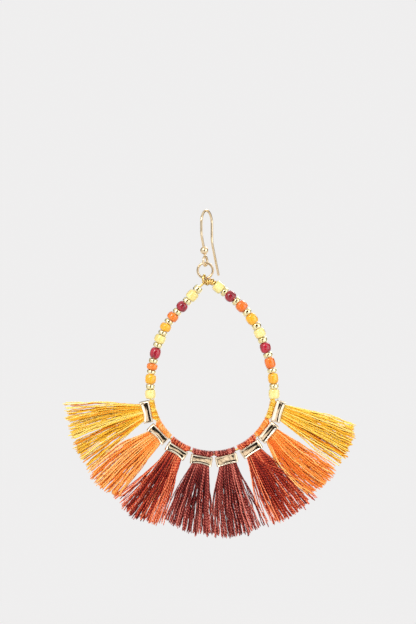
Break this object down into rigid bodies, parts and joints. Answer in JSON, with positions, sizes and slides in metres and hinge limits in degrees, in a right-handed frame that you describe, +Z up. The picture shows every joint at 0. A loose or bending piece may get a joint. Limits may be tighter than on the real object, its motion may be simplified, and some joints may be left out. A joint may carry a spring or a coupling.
{
  "type": "tassel earring",
  "caption": "Drop earring: fish hook, jump ring and beaded teardrop hoop of gold wire, with a fan of thread tassels held by flattened gold cuffs.",
  "frame": {"origin": "inner top of the ear hook's arch, where it sits in the ear lobe", "axes": "+Z up along the drop, +X to the viewer's right, +Y away from the viewer through the hoop"},
  "size_m": [0.0937, 0.0129, 0.108],
  "materials": {
    "hook_gold": "polished pale gold plate",
    "ring_gold": "polished pale gold plate",
    "hoop_gold": "polished gold plate",
    "cuff_gold": "polished champagne gold plate",
    "bead_gold": "plated seed bead",
    "bead_red": "glossy garnet red glass",
    "bead_orange": "glossy opaque orange glass",
    "bead_amber": "glossy opaque amber glass",
    "bead_pale": "pearly pale yellow glass",
    "thread_yellow": "twisted cotton thread",
    "thread_orange": "twisted cotton thread",
    "thread_rust": "twisted cotton thread",
    "thread_maroon": "twisted cotton thread"
  },
  "bodies": {
    "hook": {"ear_hook": "hook_gold"},
    "ring": {"jump_ring": "ring_gold"},
    "drop": {"hoop_wire": "hoop_gold", "bead_left_01": "bead_gold", "bead_left_02": "bead_pale", "bead_left_03": "bead_gold", "bead_left_04": "bead_red", "bead_left_05": "bead_gold", "bead_left_06": "bead_orange", "bead_left_07": "bead_gold", "bead_left_08": "bead_amber", "bead_left_09": "bead_gold", "bead_left_10": "bead_pale", "bead_left_11": "bead_gold", "bead_left_12": "bead_red", "bead_left_13": "bead_gold", "bead_left_14": "bead_orange", "bead_left_15": "bead_gold", "bead_left_16": "bead_amber", "bead_left_17": "bead_gold", "bead_left_18": "bead_pale", "bead_right_01": "bead_pale", "bead_right_02": "bead_gold", "bead_right_03": "bead_red", "bead_right_04": "bead_gold", "bead_right_05": "bead_orange", "bead_right_06": "bead_gold", "bead_right_07": "bead_amber", "bead_right_08": "bead_gold", "bead_right_09": "bead_pale", "bead_right_10": "bead_gold", "bead_right_11": "bead_red", "bead_right_12": "bead_gold", "bead_right_13": "bead_orange", "bead_right_14": "bead_gold", "bead_right_15": "bead_amber", "bead_right_16": "bead_gold", "bead_right_17": "bead_pale", "cuff_1": "cuff_gold", "cuff_2": "cuff_gold", "cuff_3": "cuff_gold", "cuff_4": "cuff_gold", "cuff_5": "cuff_gold", "cuff_6": "cuff_gold", "cuff_7": "cuff_gold", "cuff_8": "cuff_gold", "tassel_1": "thread_yellow", "tassel_2": "thread_orange", "tassel_3": "thread_rust", "tassel_4": "thread_maroon", "tassel_5": "thread_maroon", "tassel_6": "thread_rust", "tassel_7": "thread_orange", "tassel_8": "thread_yellow"}
  },
  "joints": [
    {"name": "ring_swing", "type": "hinge", "parent": "hook", "child": "ring", "pos_m": [-0.00045, -0.00096, -0.01691], "axis": [1, 0, 0], "range_deg": [-45, 45]},
    {"name": "drop_swing", "type": "hinge", "parent": "ring", "child": "drop", "pos_m": [-0.00045, -0.00096, -0.01941], "axis": [0, 1, 0], "range_deg": [-35, 35]}
  ]
}
